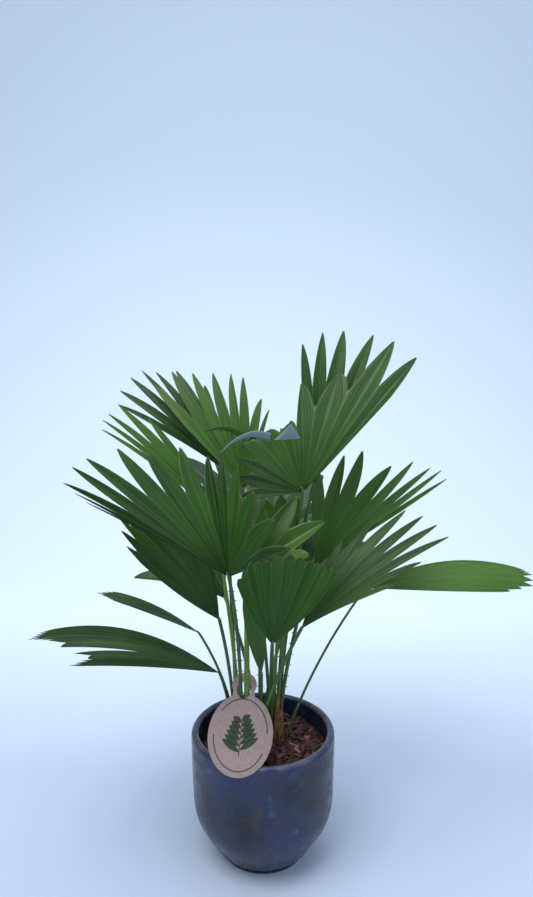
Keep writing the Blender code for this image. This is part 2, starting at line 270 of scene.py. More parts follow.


# The fronds, with the ribs, hubs and feet of the CAD part. A rib has its heading, its rise and its reach,
# and a folded one its drop.
# The lightness given to each frond is partly the frond's own tone and partly painted light and shade.
frond("top", "right", (16.0, -1.0), (45, -4, 442),
      ((204, 2, 75), (200, 16, 81), (196, 29, 86), (190, 40, 93), (168, 57, 81, 38), (117, 66, 82),
       (91, 68, 129), (44, 66, 143), (18, 57, 201), (5, 50, 196)), cut=0.72, bow=0.03, girth=2.5,
      spiny=1)
frond("top_back", "right", (18.0, 10.0), (59, 32, 441),
      ((107, 76, 171), (74, 76, 185), (48, 73, 190), (24, 66, 193)), cut=0.66, bow=0.03, shade=0.45)
frond("back_left", "centre", (-18.8, -11.2), (-21, 62, 430),
      ((162, 46, 176), (152, 53, 178), (142, 58, 165), (129, 64, 156), (112, 69, 149), (96, 73, 142),
       (55, 73, 114), (32, 71, 103)), cut=0.6, bow=0.05, girth=3.7, lean=(0.0, 0.0), shade=0.6)
frond("far_left", "left", (-32.5, 15.0), (-52, 90, 452),
      ((188, 33, 150), (181, 38, 158), (171, 44, 162), (162, 48, 162), (152, 50, 154), (138, 55, 146),
       (112, 56, 120)), cut=0.56, bow=0.04, shade=0.1)
frond("left_yellow", "left", (-28.5, 11.0), (-63, 60, 403),
      ((204, 40, 169), (199, 43, 173), (194, 46, 172), (188, 51, 172), (177, 57, 137)),
      cut=0.64, bow=0.04, shade=0.7)
frond("left_front", "centre", (-25.3, -10.6), (-36, -60, 362),
      ((194, 32, 170), (195, 33, 184), (195, 34, 199), (194, 39, 201), (191, 43, 195), (183, 51, 180),
       (170, 56, 159), (143, 63, 150), (117, 66, 134), (103, 72, 137), (70, 77, 122), (0, 74, 97),
       (335, 53, 87), (330, 30, 86)), cut=0.62, bow=0.05, lift=0.02, girth=2.2, lean=(0.0, 0.0),
      spiny=1, shade=0.3)
frond("left_low", "left", (-34.0, 5.5), (-50, -14, 295),
      ((206, 44, 145), (199, 50, 174), (192, 51, 176), (180, 58, 179), (163, 67, 176)),
      cut=0.84, bow=0.05, lift=0.01, belly=0.07, between=1, girth=2.0, shade=0.4)
frond("centre_front", "right", (9.5, 0.0), (10, -95, 302),
      ((214, 62, 88), (200, 75, 94), (230, 83, 93), (340, 79, 101), (350, 66, 100), (348, 59, 103),
       (343, 52, 109)), cut=0.96, bow=0.05, belly=0.04, between=1, girth=3.3, lean=(0.1, 0.1), shade=0.5)
frond("centre_small", "middle", (-2.0, -10.3), (-2, -26, 235),
      ((211, 76, 96), (204, 83, 98), (180, 88, 88)), cut=0.9, bow=0.03, belly=0.06, girth=1.9,
      lean=(0.1, 0.1), folds=2, shade=0.6)
frond("right_mid", "right", (19.5, 3.5), (62, 30, 344),
      ((86, 83, 119), (40, 70, 138), (31, 63, 151), (20, 49, 153), (13, 45, 173), (7, 40, 181),
       (2, 38, 188), (359, 35, 186)), cut=0.62, bow=0.04, spiny=1, shade=0.75)
frond("right_low", "middle", (-6.5, -17.5), (43, -30, 291),
      ((41, 55, 111), (30, 49, 149), (20, 44, 181), (14, 40, 189), (9, 36, 193), (4, 32, 195),
       (358, 31, 153), (351, 29, 120)), cut=0.64, bow=0.05, lift=0.01, girth=2.1, lean=(0.35, 1.2),
      shade=0.35)
frond("right_droop", "soil", (25.2, -3.5), (120, 8, 325),
      ((4, 5, 191), (2, 4, 197), (359, 1, 194), (356, 0, 165)), cut=0.94, bow=0.02, lift=0.04,
      belly=0.065, girth=1.6, tip=1.3, lean=(0.35, 0.35), folds=2, shade=1.0)
frond("left_droop", "left", (-38.5, 4.0), (-51, -12, 229),
      ((188, 7, 169), (187, 10, 150), (181, 12, 200), (179, 10, 225), (177, 12, 214)), cut=0.93,
      bow=0.03, lift=0.055, belly=0.06, cleft=(1.5, 0.5), girth=1.8, tip=1.4, folds=3, shade=0.1)
frond("left_thin", "left", (-35.5, 11.0), (-77, 20, 264),
      ((188, 25, 110), (183, 24, 130), (178, 26, 115)), cut=0.93, bow=0.02, lift=0.02, belly=0.05,
      girth=1.8, tip=1.4, folds=3, shade=0.15)
frond("inner_right", "right", (8.2, 6.5), (-10, -36, 366),
      ((57, 75, 64), (27, 54, 91), (7, 31, 93), (336, 17, 67)), cut=0.6, bow=0.04, belly=0.02,
      girth=2.0, shade=0.6)
frond("inner_spear", "right", (12.5, 10.5), (23, 12, 340),
      ((158, 76, 90), (100, 83, 94), (24, 78, 93)), cut=0.88, bow=0.02, belly=0.02, girth=2.0,
      shade=0.9)
frond("back_centre", "back", (-4.0, 36.0), (-4, 64, 350),
      ((150, 31, 168), (137, 34, 185), (115, 36, 195), (94, 36, 195), (73, 34, 185), (52, 28, 160),
       (35, 20, 130)), cut=0.62, bow=0.06, lift=0.03, spiny=1, shade=0.3)
frond("back_right", "back", (1.5, 28.5), (42, 66, 292),
      ((128, 26, 135), (108, 30, 160), (88, 32, 178), (68, 31, 180), (50, 27, 165), (34, 20, 135)),
      cut=0.62, bow=0.06, lift=0.03, shade=0.4)
frond("back_low", "back", (-9.5, 29.0), (-48, 74, 286),
      ((176, 12, 120), (158, 18, 145), (140, 22, 165), (120, 24, 178), (100, 22, 165)),
      cut=0.62, bow=0.06, lift=0.03, shade=0.2)

FRESH = ("back_left", "left_yellow", "centre_small", "right_droop", "inner_right", "inner_spear")
LIGHT_STALKS = ("back_left", "left_yellow", "inner_spear")


def unit(vectors):
    """Vectors at length one."""
    return vectors / np.linalg.norm(vectors, axis=-1, keepdims=True)


class Fan:
    """The surface that a frond's ribs span: points are rib numbers and shares of their reach."""

    def __init__(self, rule):
        heading = np.radians([rib[0] for rib in rule["ribs"]])
        rise = np.radians([rib[1] for rib in rule["ribs"]])
        self.rule = rule
        self.hub = np.array(rule["hub"], float)
        self.ways = np.stack([np.cos(rise) * np.cos(heading), np.cos(rise) * np.sin(heading),
                              np.sin(rise)], axis=1)
        self.reaches = np.array([rib[2] for rib in rule["ribs"]], float)
        self.drops = np.array([rib[3] if len(rib) > 3 else 0.0 for rib in rule["ribs"]])
        self.last = len(heading) - 1
        self.normal = -unit(np.cross(self.ways[:-1], self.ways[1:]).sum(axis=0))
        self.side = unit(np.cross(unit(self.ways.sum(axis=0)), self.normal))
        segments = self.last * (1 + rule.get("between", 0)) * rule.get("folds", 1) + 1
        self.mids = np.linspace(0, self.last, segments)
        margin = EDGE_MARGIN * self.mids[1]
        seams = (self.mids[1:] + self.mids[:-1]) / 2
        self.edges = np.concatenate([[-margin], seams, [self.last + margin]])
        turns = np.arccos(np.clip((self.ways[:-1] * self.ways[1:]).sum(axis=1), -1, 1))
        self.half_angle = turns.mean() * self.mids[1] / 2

    def way(self, rib):
        """The directions of the ribs, also between two given ones."""
        first = np.clip(np.floor(rib).astype(int), 0, self.last - 1)
        share = (rib - first)[..., None]
        return unit(self.ways[first] * (1 - share) + self.ways[first + 1] * share)

    def up(self, rib):
        """The blade's upper normals at the ribs."""
        local = unit(-np.cross(self.way(rib - NORMAL_STEP), self.way(rib + NORMAL_STEP)))
        return unit(local + NORMAL_SHARE * self.normal)

    def points(self, rib, share):
        """The points at these shares of the ribs' reaches."""
        rib, share = np.broadcast_arrays(np.asarray(rib, float), np.asarray(share, float))
        numbers = np.arange(self.last + 1)
        straight = np.interp(rib, numbers, self.reaches)[..., None]
        whole = straight + np.interp(rib, numbers, self.drops)[..., None]
        run = share[..., None] * whole
        out = np.minimum(run / straight, 1.0)
        across = (2 * rib / self.last - 1)[..., None]
        bulge = self.rule.get("bow", 0) * self.normal + self.rule.get("belly", 0) * across * self.side
        bulge = bulge + np.array((0, 0, self.rule.get("lift", 0)))
        place = self.hub + straight * (self.way(rib) * out + bulge * 4 * out * (1 - out))
        return place + DRAPE * np.maximum(run - straight, 0.0)


def petiole_path(rule):
    """The route of a petiole's middle line, and the way it leaves the hub."""
    seat = SOIL_LEVEL + GAP
    if rule["stem"] in STEMS:
        seat += STEMS[rule["stem"]][3] + GAP
    hub = np.array(rule["hub"], float)
    foot = np.array((*rule["foot"], seat))
    bend = foot + (hub - foot) * np.array((*rule.get("lean", PETIOLE_LEAN), PETIOLE_BEND_HEIGHT))
    share = np.linspace(0, 1, PETIOLE_RINGS)[:, None]
    path = foot * (1 - share) ** 2 + bend * 2 * share * (1 - share) + hub * share ** 2
    path[0][2] -= PETIOLE_SINK
    return path, unit(hub - bend)


class Finish:
    """A node material, with the steps that lead to its colour. A value is a socket, number or colour."""

    def __init__(self, name, roughness):
        self.material = bpy.data.materials.new(name)
        self.material.use_nodes = True
        self.tree = self.material.node_tree
        self.shader = self.tree.nodes["Principled BSDF"]
        self.shader.inputs["Roughness"].default_value = roughness

    def feed(self, socket, value):
        """Give a socket its value."""
        if isinstance(value, bpy.types.NodeSocket):
            self.tree.links.new(value, socket)
        elif isinstance(value, tuple):
            socket.default_value = (*value, 1.0)
        else:
            socket.default_value = value

    def node(self, kind, **settings):
        """Add a node with these settings."""
        made = self.tree.nodes.new(kind)
        for key, value in settings.items():
            setattr(made, key, value)
        return made

    def place(self):
        """The object's own coordinates, in metres."""
        return self.node("ShaderNodeTexCoord").outputs["Object"]

    def attribute(self, name, output):
        """A named attribute of the mesh."""
        return self.node("ShaderNodeAttribute", attribute_name=name).outputs[output]

    def split(self, vector):
        """The three parts of a vector."""
        made = self.node("ShaderNodeSeparateXYZ")
        self.feed(made.inputs[0], vector)
        return made.outputs

    def join(self, first, second):
        """A vector of two parts."""
        made = self.node("ShaderNodeCombineXYZ")
        self.feed(made.inputs[0], first)
        self.feed(made.inputs[1], second)
        return made.outputs[0]

    def noise(self, vector, scale, detail=3.0):
        """A noise between 0 and 1 at this scale."""
        made = self.node("ShaderNodeTexNoise")
        self.feed(made.inputs["Vector"], vector)
        self.feed(made.inputs["Scale"], scale)
        self.feed(made.inputs["Detail"], detail)
        return made.outputs["Fac"]

    def ramp(self, factor, low, high):
        """A factor stretched so that low becomes 0 and high becomes 1."""
        made = self.node("ShaderNodeMapRange", clamp=True)
        self.feed(made.inputs["Value"], factor)
        self.feed(made.inputs["From Min"], low)
        self.feed(made.inputs["From Max"], high)
        return made.outputs["Result"]

    def blend(self, factor, first, second):
        """Two colours mixed."""
        made = self.node("ShaderNodeMix", data_type="RGBA")
        self.feed(made.inputs[0], factor)
        self.feed(made.inputs[6], first)
        self.feed(made.inputs[7], second)
        return made.outputs[2]

    def maths(self, operation, *values):
        """One step of arithmetic."""
        made = self.node("ShaderNodeMath", operation=operation)
        for socket, value in zip(made.inputs, values):
            self.feed(socket, value)
        return made.outputs[0]

    def plus(self, first, second):
        """A sum."""
        return self.maths("ADD", first, second)

    def times(self, first, second):
        """A product."""
        return self.maths("MULTIPLY", first, second)

    def relief(self, height, distance, strength=0.6):
        """Bump from a height."""
        made = self.node("ShaderNodeBump")
        self.feed(made.inputs["Strength"], strength)
        self.feed(made.inputs["Distance"], distance * MM)
        self.feed(made.inputs["Height"], height)
        self.feed(self.shader.inputs["Normal"], made.outputs["Normal"])

    def colour(self, value):
        """The shader's base colour."""
        self.feed(self.shader.inputs["Base Color"], value)


def leaf_finish(name, dark, light, ridge_highlight_and_midrib, roughness):
    """Leaf blade: rib streaks, partly painted sheen, seams with a painted ridge highlight, paler midribs,
    blotches, brown tips.
    """
    made = Finish(name, roughness)
    across, share, rib = made.split(made.attribute("leaf", "Vector"))
    # The streaks along the ribs: partly the leaf's own tone, partly painted sheen
    streak = made.noise(made.join(made.times(rib, 9.0), made.times(share, 1.2)), 3.0, 4.0)
    blotch = made.noise(made.place(), 22.0)
    tone = made.plus(made.times(streak, 0.75), made.attribute("tint", "Fac"))
    tone = made.plus(tone, made.times(blotch, 0.3))
    colour = made.blend(made.ramp(tone, 0.45, 1.05), dark, light)
    # The seams, the raised pleat ridges, lighten: a painted highlight on the ridges, with their own paler
    # edge
    colour = made.blend(made.times(made.ramp(across, 0.86, 1.0), 0.5), colour, ridge_highlight_and_midrib)
    colour = made.blend(made.times(made.ramp(across, 0.07, 0.0), 0.6), colour, ridge_highlight_and_midrib)
    towards_end = made.plus(share, made.times(blotch, 0.05))
    made.colour(made.blend(made.ramp(towards_end, 1.0, 1.025), colour, BROWN_TIP))
    veins = made.maths("SINE", made.times(across, 30.0))
    made.relief(made.plus(streak, made.times(veins, 0.2)), 0.5)
    made.shader.inputs["Specular IOR Level"].default_value = LEAF_GLOSS
    return made.material


def stalk_finish(name, low, high, foot):
    """Petiole: long streaks, green shading to brown at the foot."""
    made = Finish(name, 0.42)
    around, share, _ = made.split(made.attribute("leaf", "Vector"))
    streak = made.noise(made.join(made.times(around, 3.0), made.times(share, 5.0)), 3.0, 4.0)
    colour = made.blend(made.ramp(streak, 0.3, 0.7), low, high)
    aged = made.plus(share, made.times(streak, 0.12))
    made.colour(made.blend(made.ramp(aged, 0.16, 0.06), colour, foot))
    made.relief(streak, 0.4)
    return made.material


def fibre_finish(name, low, high):
    """Old leaf sheath: dry upright fibres."""
    made = Finish(name, 0.9)
    stretch = made.node("ShaderNodeMapping")
    stretch.inputs["Scale"].default_value = (1.0, 1.0, 0.12)
    made.feed(stretch.inputs["Vector"], made.place())
    fibre = made.noise(stretch.outputs[0], 900.0, 5.0)
    made.colour(made.blend(made.ramp(fibre, 0.35, 0.68), low, high))
    made.relief(fibre, 0.8, 0.9)
    return made.material


def glaze_finish():
    """Weathered dark glaze: blue-grey clouds, brown stains, pale specks and a lighter, bluer top to the
    lip.
    """
    made = Finish("Weathered glaze", 0.5)
    where = made.place()
    cloud = made.noise(where, 14.0, 6.0)
    fine = made.noise(where, 75.0, 8.0)
    specks = made.noise(where, 420.0, 2.0)
    colour = made.blend(made.ramp(cloud, 0.40, 0.68), (0.007, 0.008, 0.017), (0.018, 0.031, 0.092))
    colour = made.blend(made.ramp(fine, 0.53, 0.72), colour, (0.040, 0.025, 0.026))
    colour = made.blend(made.ramp(fine, 0.36, 0.24), colour, (0.05, 0.08, 0.16))
    colour = made.blend(made.ramp(specks, 0.71, 0.77), colour, (0.16, 0.14, 0.13))
    height = made.split(where)[2]
    towards_end = made.plus(height, made.times(fine, 0.008))
    # The top of the lip turns lighter and bluer
    lip = made.times(made.ramp(towards_end, 0.1555, 0.1590), 0.6)
    made.colour(made.blend(lip, colour, (0.07, 0.085, 0.135)))
    made.feed(made.shader.inputs["Roughness"], made.ramp(fine, 0.2, 1.3))
    made.relief(made.plus(fine, made.times(cloud, 0.6)), 0.7)
    return made.material


def bark_finish():
    """Red-brown bark chips, each in its own tone."""
    made = Finish("Bark chips", 0.9)
    grain = made.noise(made.place(), 260.0, 5.0)
    tone = made.plus(made.attribute("tint", "Fac"), made.times(grain, 0.3))
    colour = made.blend(made.ramp(tone, 0.1, 0.8), (0.008, 0.003, 0.003), (0.060, 0.019, 0.015))
    made.colour(made.blend(made.ramp(tone, 0.93, 1.2), colour, (0.30, 0.12, 0.08)))
    made.relief(grain, 0.9, 0.9)
    return made.material


def card_finish():
    """Kraft card with short fibres."""
    made = Finish("Kraft card", 0.85)
    where = made.place()
    fibre = made.noise(where, 700.0, 6.0)
    cloud = made.noise(where, 60.0)
    colour = made.blend(made.ramp(fibre, 0.3, 0.75), (0.20, 0.150, 0.145), (0.31, 0.235, 0.22))
    made.colour(made.blend(made.times(cloud, 0.25), colour, (0.17, 0.13, 0.13)))
    made.relief(fibre, 0.12, 0.4)
    return made.material


def ink_finish():
    """Dark green printing ink, a little uneven."""
    made = Finish("Green ink", 0.8)
    patch = made.noise(made.place(), 500.0, 3.0)
    made.colour(made.blend(patch, (0.006, 0.012, 0.008), (0.022, 0.045, 0.018)))
    return made.material


def floor_finish():
    """Pale floor that turns lighter where it sweeps up."""
    made = Finish("Pale floor", 0.9)
    depth = made.split(made.place())[1]
    made.colour(made.blend(made.ramp(depth, *TONE_CHANGE), FLOOR_TONE, BACKDROP_TONE))
    return made.material


def mesh_object(name, points, faces, materials, slots=None, leaf=None, tint=None, smooth=True):
    """A mesh with its materials and its two named attributes."""
    data = bpy.data.meshes.new(name)
    data.from_pydata((np.asarray(points) * MM).tolist(), [], faces)
    for finish in materials:
        data.materials.append(finish)
    if slots is not None:
        data.polygons.foreach_set("material_index", np.asarray(slots, np.int32))
    data.polygons.foreach_set("use_smooth", np.full(len(data.polygons), smooth))
    if leaf is not None:
        layer = data.attributes.new("leaf", "FLOAT_VECTOR", "POINT")
        layer.data.foreach_set("vector", np.asarray(leaf, np.float32).ravel())
    if tint is not None:
        layer = data.attributes.new("tint", "FLOAT", "POINT")
        layer.data.foreach_set("value", np.asarray(tint, np.float32))
    made = bpy.data.objects.new(name, data)
    bpy.context.scene.collection.objects.link(made)
    return made


def face_outwards(made):
    """Turn the faces of a closed mesh outwards."""
    mesh = bmesh.new()
    mesh.from_mesh(made.data)
    bmesh.ops.recalc_face_normals(mesh, faces=mesh.faces[:])
    mesh.to_mesh(made.data)
    mesh.free()


def dress(piece, slot, *nodes):
    """Let a piece stand for its CAD nodes."""
    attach(piece, "root")
    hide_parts(*nodes)


def closed_rings(first, rings, sides):
    """The faces of a tube of rings, with its two ends, from its first point's number."""
    faces = []
    for ring in range(rings - 1):
        for side in range(sides):
            a = first + ring * sides + side
            b = first + ring * sides + (side + 1) % sides
            faces.append((a, b, b + sides, a + sides))
    faces.append(tuple(range(first + sides - 1, first - 1, -1)))
    last = first + (rings - 1) * sides
    faces.append(tuple(range(last, last + sides)))
    return faces


def leaf_thickness(made):
    """Give a leaf its thickness."""
    shell = made.modifiers.new("Leaf thickness", "SOLIDIFY")
    shell.thickness = LEAF_THICKNESS * MM
    return shell


def segment_width(share, cut):
    """The share of a segment's full width past its cut."""
    return max(((1 - share) / (1 - cut)) ** TIP_TAPER, TIP_WIDTH)


def blade_point(fan, mid, edge, column, share, width):
    """A point of one segment: its place and its rib number."""
    rib = fan.mids[mid]
    free = max(0.0, (share - NOTCH_START) / (1 - NOTCH_START)) if share > fan.rule["cut"] else 0.0
    back = share - NOTCH * free * (1 - abs(column)) * (1 - fan.rule["cut"])
    centre = fan.points(rib, back)
    side = fan.points(fan.edges[edge], back)
    place = centre + (side - centre) * (abs(column) * width)
    at = rib + (fan.edges[edge] - rib) * abs(column)
    reach = np.interp(at, np.arange(fan.last + 1), fan.reaches)
    fold = PLEAT * min(share, 1.0) * reach * fan.half_angle * width
    return place + fan.up(np.asarray(at)) * fold * (2 * abs(column) ** PLEAT_POWER - 1), at


def blade(name, rule, upper, under):
    """A fine pleated fan, cut between its segments, with a small notch in every tip."""
    fan = Fan(rule)
    cut = rule["cut"]
    cuts = np.full(len(fan.edges), cut)
    if "cleft" in rule:
        cuts[np.argmin(abs(fan.edges - rule["cleft"][0]))] = rule["cleft"][1]
    start = (rule.get("tip", PETIOLE_TIP) + HUB_CLEARANCE) / fan.reaches.mean()
    shares = np.concatenate([np.linspace(start, cut, INNER_ROWS),
                             cut + (1 - cut) * np.linspace(0, 1, TIP_ROWS + 1)[1:]])
    columns = np.linspace(-1, 1, COLUMNS + 1)
    points, leaf, tint, faces, seams = [], [], [], [], {}
    for mid in range(len(fan.mids)):
        # The frond's lightness, partly painted light and shade, with a random spread of its own tone
        tone = rule.get("shade", USUAL_TONE_AND_PAINTED_LIGHT) * TONE_SHARE + RANDOM.uniform(-TONE_SPREAD, TONE_SPREAD)
        rows = []
        for row, share in enumerate(shares):
            line = []
            for column in columns:
                edge = mid if column < 0 else mid + 1
                joined = share <= cuts[edge] + 1e-6
                key = (edge, row) if joined and abs(column) == 1 else None
                if key in seams:
                    line.append(seams[key])
                    continue
                width = 1.0 if joined else segment_width(share, cuts[edge])
                place, at = blade_point(fan, mid, edge, column, share, width)
                points.append(place)
                leaf.append((abs(column), share, at))
                tint.append(tone)
                line.append(len(points) - 1)
                if key is not None:
                    seams[key] = line[-1]
            rows.append(line)
        for near, far in zip(rows, rows[1:]):
            for side in range(COLUMNS):
                faces.append((near[side], far[side], far[side + 1], near[side + 1]))
    made = mesh_object("leaf_" + name, points, faces, (upper, under), leaf=leaf, tint=tint)
    facing = np.sum([np.array(poly.normal) * poly.area for poly in made.data.polygons], axis=0)
    if facing @ fan.normal < 0:
        made.data.flip_normals()
    shell = leaf_thickness(made)
    shell.offset = 0.0
    shell.material_offset = 1
    shell.use_rim = True
    dress(made, "fresh_blade" if name in FRESH else "blade", "frond_" + name)


def folded_tip(name, spine, half_width, power, across, finish):
    """A leaf tip that has folded over, as a thin strip along its own spine."""
    knots = np.array(spine, float)
    run = np.linspace(0, len(knots) - 1, FOLD_ROWS + 1)
    path = np.stack([np.interp(run, range(len(knots)), knots[:, axis]) for axis in range(3)], axis=1)
    for _ in range(FOLD_SMOOTHING):
        path[1:-1] = (path[:-2] + 2 * path[1:-1] + path[2:]) / 4
    across = unit(np.array(across, float))
    points, leaf, faces = [], [], []
    for row, place in enumerate(path):
        share = row / FOLD_ROWS
        half = half_width * (1 - share) ** power + FOLD_EDGE
        for column in np.linspace(-1, 1, FOLD_COLUMNS + 1):
            cup = np.array((0.0, FOLD_CUP * half * column ** 2, 0.0))
            points.append(place + across * column * half + cup)
            leaf.append((0.5 + 0.1 * column, share * 0.9, column * 0.4))
    for row in range(FOLD_ROWS):
        for column in range(FOLD_COLUMNS):
            a = row * (FOLD_COLUMNS + 1) + column
            b = a + FOLD_COLUMNS + 1
            faces.append((a, b, b + 1, a + 1))
    tint = [FOLD_TINT] * len(points)
    made = mesh_object("fold_" + name, points, faces, (finish,), leaf=leaf, tint=tint)
    leaf_thickness(made)
    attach(made, "root")


def tube(path, radii, sides, points, faces, leaf):
    """Add a closed round tube to the lists, its rings square to its path."""
    first = len(points)
    ways = unit(np.gradient(path, axis=0))
    right = unit(np.cross(ways, np.array(RING_REFERENCE)))
    front = np.cross(ways, right)
    for ring, (place, radius) in enumerate(zip(path, radii)):
        for side in range(sides):
            angle = math.tau * side / sides
            out = right[ring] * math.cos(angle) + front[ring] * math.sin(angle)
            points.append(place + radius * out)
            leaf.append((2 * abs(side / sides - 0.5), ring / (len(path) - 1), 0.0))
    faces += closed_rings(first, len(path), sides)


def spines(path, radii, points, faces, leaf):
    """Add short down-hooked spines along the two edges of a petiole."""
    for ring in range(SPINE_FIRST, len(path) - SPINE_FREE, SPINE_EVERY):
        for side in (-1, 1):
            root = path[ring] + np.array((side * radii[ring] * SPINE_SEAT, 0.0, 0.0))
            end = root + np.array(SPINE_REACH) * (side, 1, 1)
            middle = (root + end) / 2 + np.array((0.0, 0.0, SPINE_ARCH))
            tube(np.array([root, middle, end]), SPINE_RADII, SPINE_SIDES, points, faces, leaf)


def petiole(name, rule, finish):
    """A leaf stalk, wide at its foot, that runs on a little way past the hub."""
    path, leaving = petiole_path(rule)
    ways = unit(Fan(rule).ways.sum(axis=0))
    costa = [path[-1] + (leaving * (1 - step) + ways * step) * COSTA * step for step in COSTA_STEPS]
    path = np.vstack([path, costa])
    share = np.linspace(0, 1, PETIOLE_RINGS)
    tip = rule.get("tip", PETIOLE_TIP)
    foot = rule.get("girth", PETIOLE_FOOT)
    radii = foot + (tip - foot) * share + FOOT_FLARE * foot * np.exp(-share / FOOT_FLARE_SHARE)
    radii = np.concatenate([radii, tip * np.array(COSTA_TAPER)])
    points, faces, leaf = [], [], []
    tube(path, radii, PETIOLE_SIDES, points, faces, leaf)
    if rule.get("spiny"):
        spines(path, radii, points, faces, leaf)
    made = mesh_object("stalk_" + name, points, faces, (finish,), leaf=leaf)
    face_outwards(made)
    dress(made, "petiole", "petiole_" + name)


def strip(foot, way, width, height, curl, points, faces):
    """Add a thin curved strip of torn sheath."""
    across = np.array((way[1], -way[0], 0.0))
    outward = np.array((way[0], way[1], 0.0))
    first = len(points)
    for layer in (0.0, STRIP_THICKNESS):
        for step in range(STRIP_STEPS + 1):
            share = step / STRIP_STEPS
            half = width / 2 * (1 - share ** STRIP_TAPER[0]) ** STRIP_TAPER[1] + STRIP_EDGE
            for column in range(STRIP_COLUMNS + 1):
                side = 2 * column / STRIP_COLUMNS - 1
                out = curl * share ** 2 - STRIP_CUP * side ** 2 - layer
                rise = np.array((0.0, 0.0, height * share))
                points.append(np.array(foot) + outward * out + across * side * half + rise)
    row = STRIP_COLUMNS + 1
    size = row * (STRIP_STEPS + 1)
    for step in range(STRIP_STEPS):
        for column in range(STRIP_COLUMNS):
            a = first + step * row + column
            faces.append((a, a + 1, a + row + 1, a + row))
            faces.append((a + size, a + size + row, a + size + row + 1, a + size + 1))
        left = first + step * row
        right = left + STRIP_COLUMNS
        for a, b in ((left, left + row), (right + row, right)):
            faces.append((a, b, b + size, a + size))
    for start in (first, first + STRIP_STEPS * row):
        for a in range(start, start + STRIP_COLUMNS):
            faces.append((a, a + 1, a + 1 + size, a + size))


def stem(name, brown, straw):
    """A stem base bundled in old sheaths, with torn strips round it."""
    place, foot, top, height = STEMS[name]
    points = []
    for ring in range(STEM_RINGS + 1):
        share = ring / STEM_RINGS
        for side in range(STEM_SIDES):
            angle = math.tau * side / STEM_SIDES
            waves = (size * math.sin(count * angle + lean * share) for size, count, lean in STEM_FOLDS)
            radius = (foot + (top - foot) * share ** STEM_TAPER) * sum(waves, start=1)
            radius *= 1 - STEM_CLOSING * share ** STEM_CLOSING_POWER
            points.append(np.array((place[0] + radius * math.cos(angle),
                                    place[1] + radius * math.sin(angle),
                                    SOIL_LEVEL - STEM_SINK + (height + STEM_RISE) * share)))
    faces = closed_rings(0, STEM_RINGS + 1, STEM_SIDES)
    body_faces = len(faces)
    for turn in range(STRIPS):
        angle = math.tau * (turn + STRIP_TURN) / STRIPS
        way = (math.cos(angle), math.sin(angle))
        root = (place[0] + way[0] * foot * STRIP_SEAT, place[1] + way[1] * foot * STRIP_SEAT,
                SOIL_LEVEL - STEM_SINK)
        rise = height * RANDOM.uniform(*STRIP_HEIGHT)
        strip(root, way, foot * STRIP_WIDTH, rise, RANDOM.uniform(*STRIP_CURL), points, faces)
    if name == "right":
        for sheath in DEAD_SHEATHS:
            strip(*sheath, points, faces)
    slots = [0] * body_faces + [1] * (len(faces) - body_faces)
    made = mesh_object("base_" + name, points, faces, (brown, straw), slots)
    face_outwards(made)
    dress(made, "sheath", "stem_" + name)


def pot_profile():
    """The pot's section, from its inside floor over the lip to its underside."""
    lip = [(LIP_MIDDLE - LIP_RADIUS * math.cos(math.pi * step / LIP_STEPS),
            LIP_CENTRE + LIP_RADIUS * math.sin(math.pi * step / LIP_STEPS))
           for step in range(LIP_STEPS + 1)]
    corners = np.array(POT_OUTSIDE)
    rows = np.linspace(0, len(corners) - 1, OUTSIDE_ROWS)
    outside = np.stack([np.interp(rows, range(len(corners)), corners[:, axis]) for axis in (0, 1)], axis=1)
    for _ in range(OUTSIDE_SMOOTHING):
        outside[1:-1] = (outside[:-2] + 2 * outside[1:-1] + outside[2:]) / 4
    return [*POT_INSIDE, *lip, *outside.tolist()]


def pot():
    """The turned pot, a little uneven as a hand-thrown one."""
    profile = pot_profile()
    points = []
    for radius, height in profile:
        for step in range(POT_STEPS):
            angle = math.tau * step / POT_STEPS
            wave = sum(size * math.sin(count * angle + height * lean) for size, count, lean in WAVES)
            out = radius + wave * min(1.0, height / WAVE_RISE)
            points.append((out * math.cos(angle), out * math.sin(angle), height))
    faces = closed_rings(0, len(profile), POT_STEPS)
    made = mesh_object("glazed_pot", points, faces, (glaze_finish(),))
    face_outwards(made)
    dress(made, "pot_glaze", "pot")


def soil_drop(radius):
    """How far the soil lies below its level at this radius."""
    return SOIL_DROP * max(0.0, (radius - SLOPE_START) / (SOIL_RADIUS - SLOPE_START))


def add_chip(centre, sizes, turn, points, faces):
    """Add one rough six-sided chip of bark."""
    first = len(points)
    cos, sin = math.cos(turn), math.sin(turn)
    tilt = RANDOM.uniform(-CHIP_TILT, CHIP_TILT, 2)
    for z in (-1, 1):
        for x, y in ((-1, -1), (1, -1), (1, 1), (-1, 1)):
            corner = np.array((x, y, z)) * sizes * RANDOM.uniform(*CHIP_RAGGED, 3)
            corner[2] += tilt[0] * corner[0] + tilt[1] * corner[1]
            turned = np.array((corner[0] * cos - corner[1] * sin, corner[0] * sin + corner[1] * cos,
                               corner[2]))
            points.append(np.array(centre) + turned)
    for face in ((3, 2, 1, 0), (4, 5, 6, 7), (0, 1, 5, 4), (1, 2, 6, 5), (2, 3, 7, 6), (3, 0, 4, 7)):
        faces.append(tuple(first + corner for corner in face))


